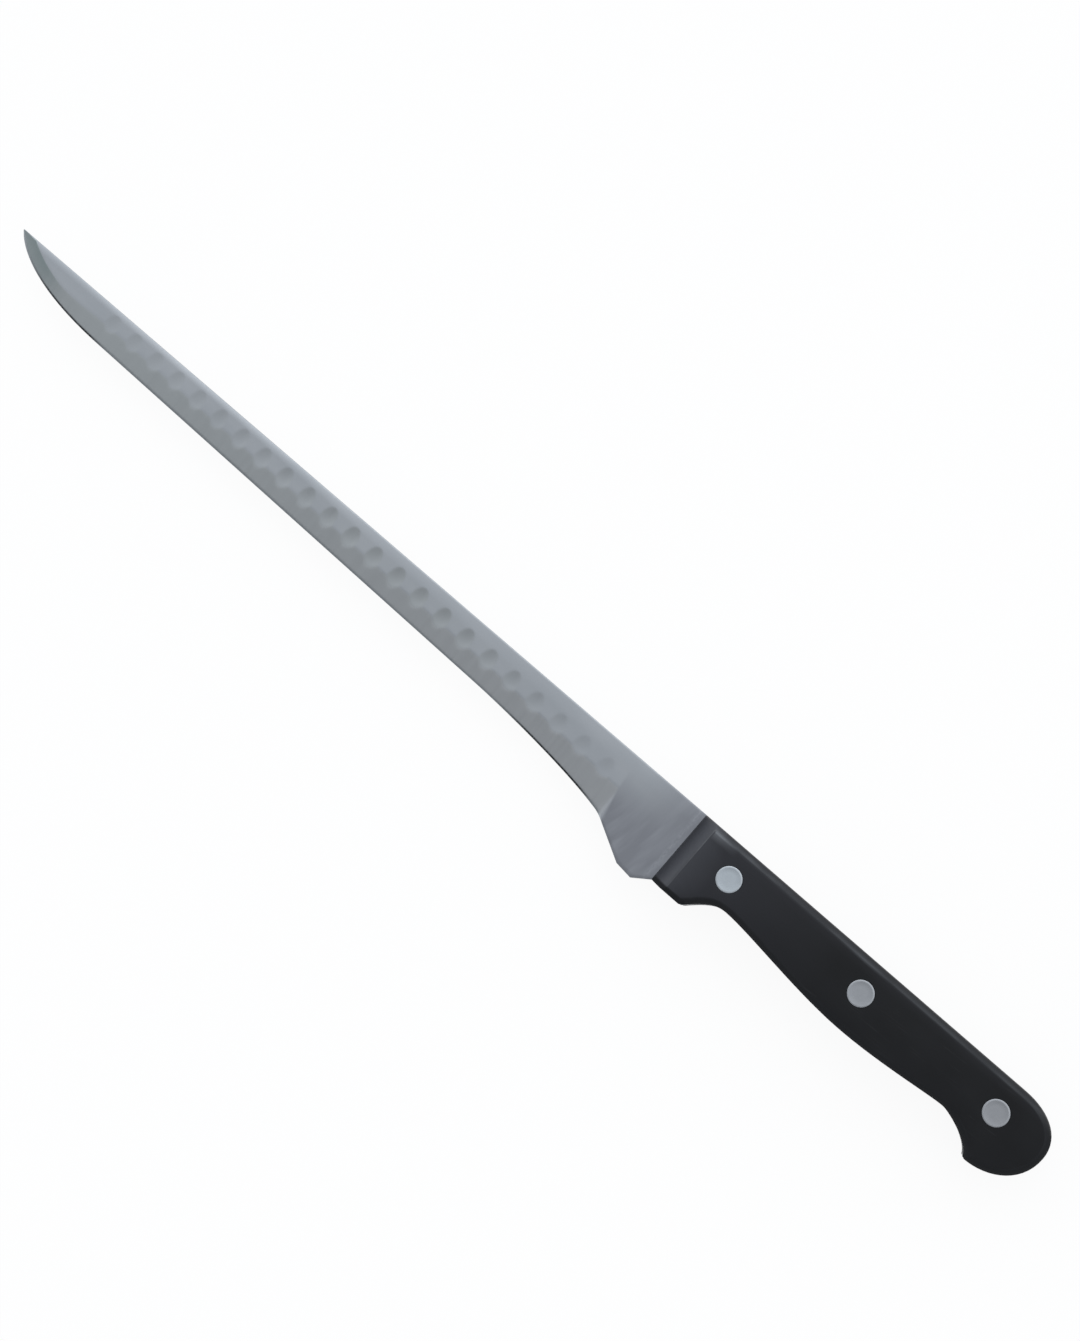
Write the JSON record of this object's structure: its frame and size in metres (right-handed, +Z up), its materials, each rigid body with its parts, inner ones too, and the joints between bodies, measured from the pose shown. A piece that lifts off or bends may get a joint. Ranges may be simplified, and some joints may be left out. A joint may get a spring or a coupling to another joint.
{
  "type": "ham knife",
  "caption": "Long narrow slicing knife with an oval-dimpled blade, a stepped heel, a full tang and black handle scales held by flush rivets.",
  "frame": {"origin": "under the middle of the outline, on the surface that the knife lies on with its right side down", "axes": "+X along the spine to the tip, +Y towards the cutting edge, +Z up, out of the knife's left side"},
  "size_m": [0.3644, 0.0246, 0.016],
  "materials": {
    "blade_steel": "satin",
    "handle_plastic": "satin",
    "rivet_metal": "satin"
  },
  "bodies": {
    "root": {"blade": "blade_steel", "left_scale": "handle_plastic", "right_scale": "handle_plastic", "front_rivet_cap": "rivet_metal", "front_rivet_post": "rivet_metal", "middle_rivet_cap": "rivet_metal", "middle_rivet_post": "rivet_metal", "rear_rivet_cap": "rivet_metal", "rear_rivet_post": "rivet_metal"}
  },
  "joints": []
}
